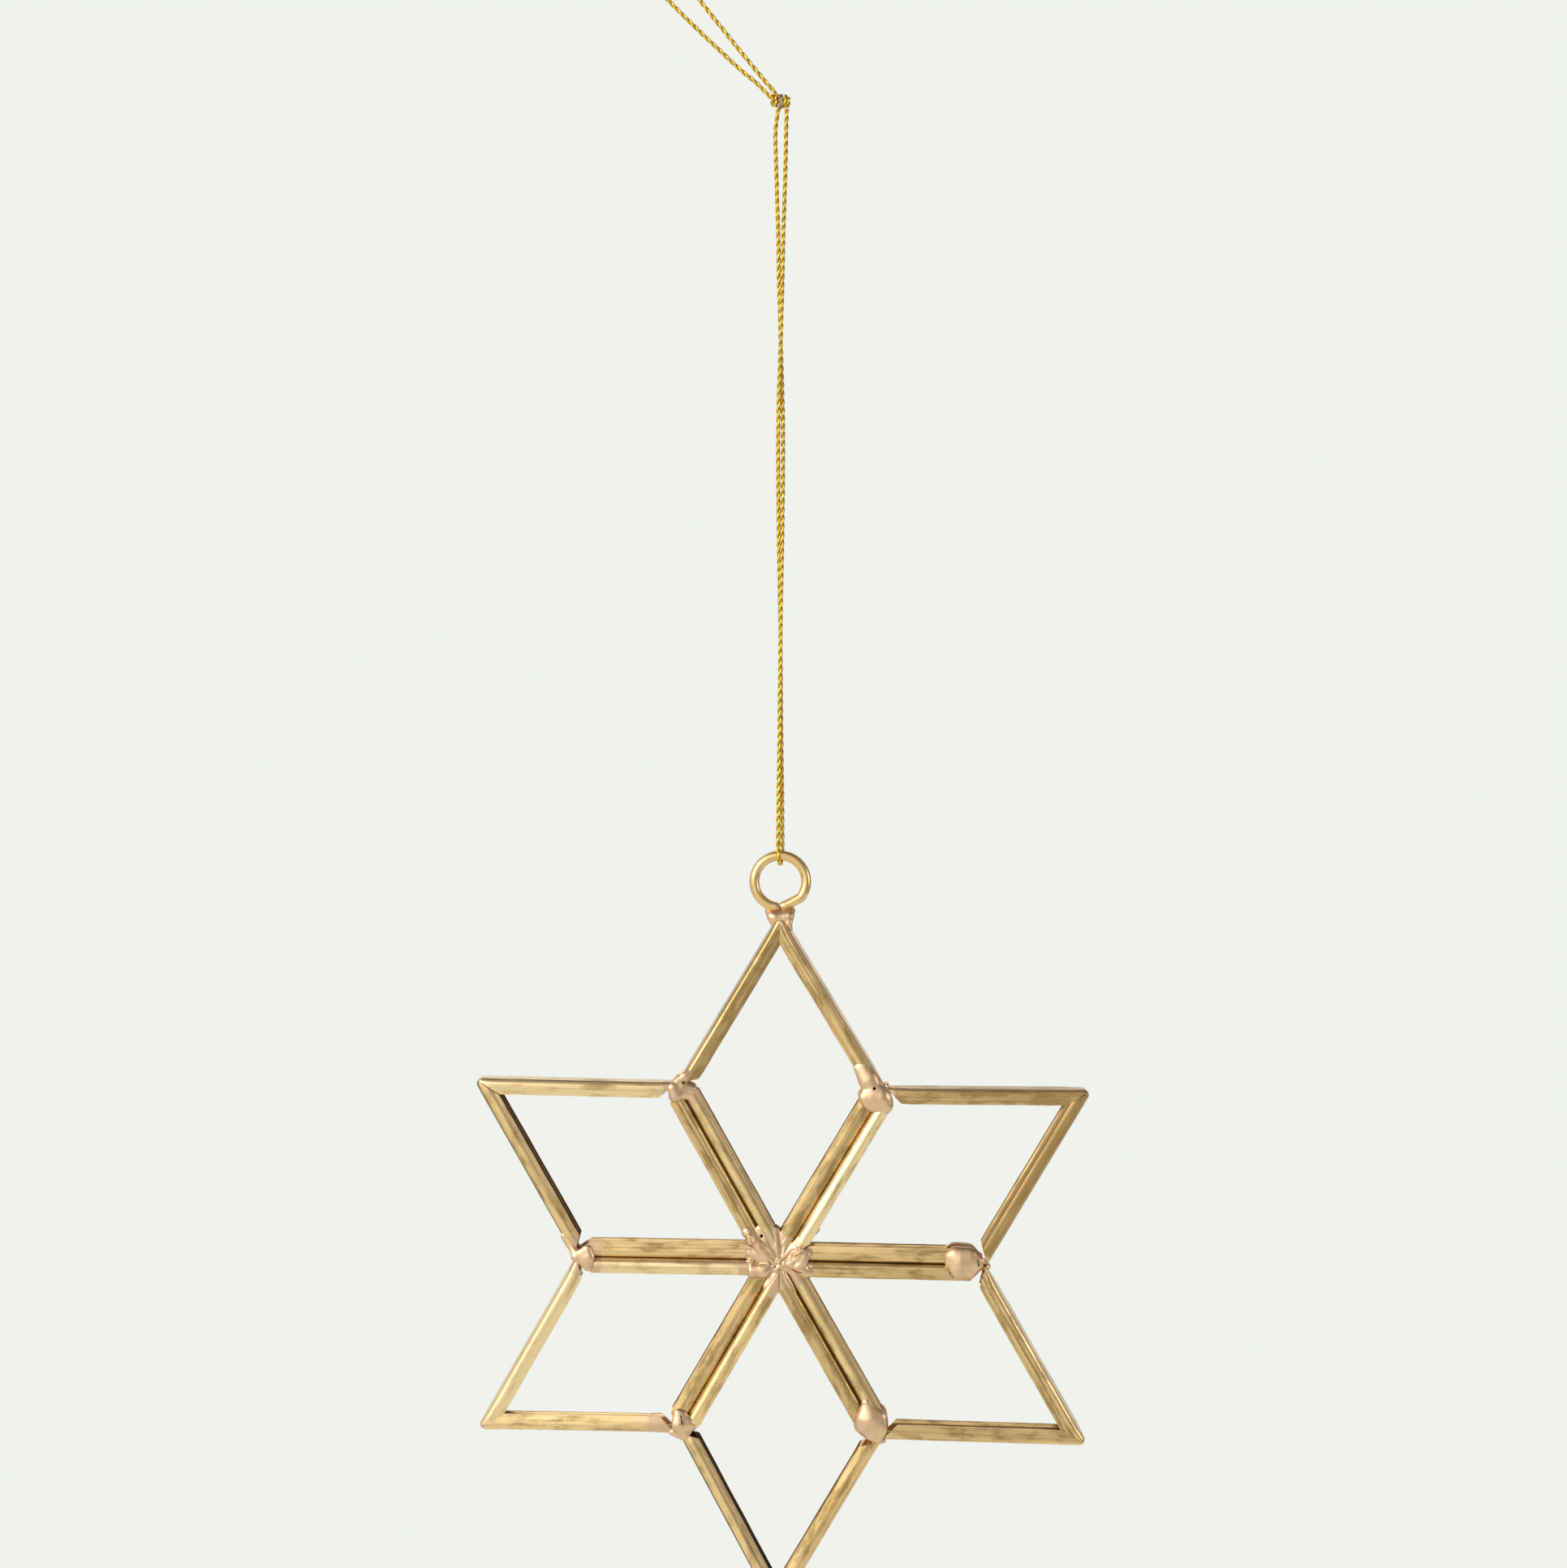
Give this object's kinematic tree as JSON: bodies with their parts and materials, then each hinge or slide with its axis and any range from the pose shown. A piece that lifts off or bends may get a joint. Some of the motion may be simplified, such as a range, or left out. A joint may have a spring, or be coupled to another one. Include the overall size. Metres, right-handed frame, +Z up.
{
  "type": "hanging star ornament",
  "caption": "Flat openwork star of rhombus frames in soldered brass channel, with a wire ring at its top point and a gold cord to hang it by.",
  "frame": {"origin": "the bend of the cord's upper loop, where a hook holds the ornament", "axes": "+Z up along the hanging cord, +X to the right of the front view, -Y out of the front face"},
  "size_m": [0.1024, 0.0063, 0.2821],
  "materials": {
    "brass": "rolled brass with fine lengthwise scratches and uneven brown and olive patina",
    "solder": "soft solder washed with the brass's colour, pinkish and half matte",
    "gold_cord": "twisted metallic gold thread"
  },
  "bodies": {
    "root": {"frame_top": "brass", "frame_upper_left": "brass", "frame_lower_left": "brass", "frame_bottom": "brass", "frame_lower_right": "brass", "frame_upper_right": "brass", "solder_notch_upper_left": "solder", "solder_notch_left": "solder", "solder_notch_lower_left": "solder", "solder_notch_lower_right": "solder", "solder_notch_right": "solder", "solder_notch_upper_right": "solder", "solder_middle": "solder", "hanging_ring": "brass", "solder_ring_saddle": "solder", "cord_ring_loop": "gold_cord", "cord_hanging_loop": "gold_cord", "cord_knot": "gold_cord"}
  },
  "joints": []
}
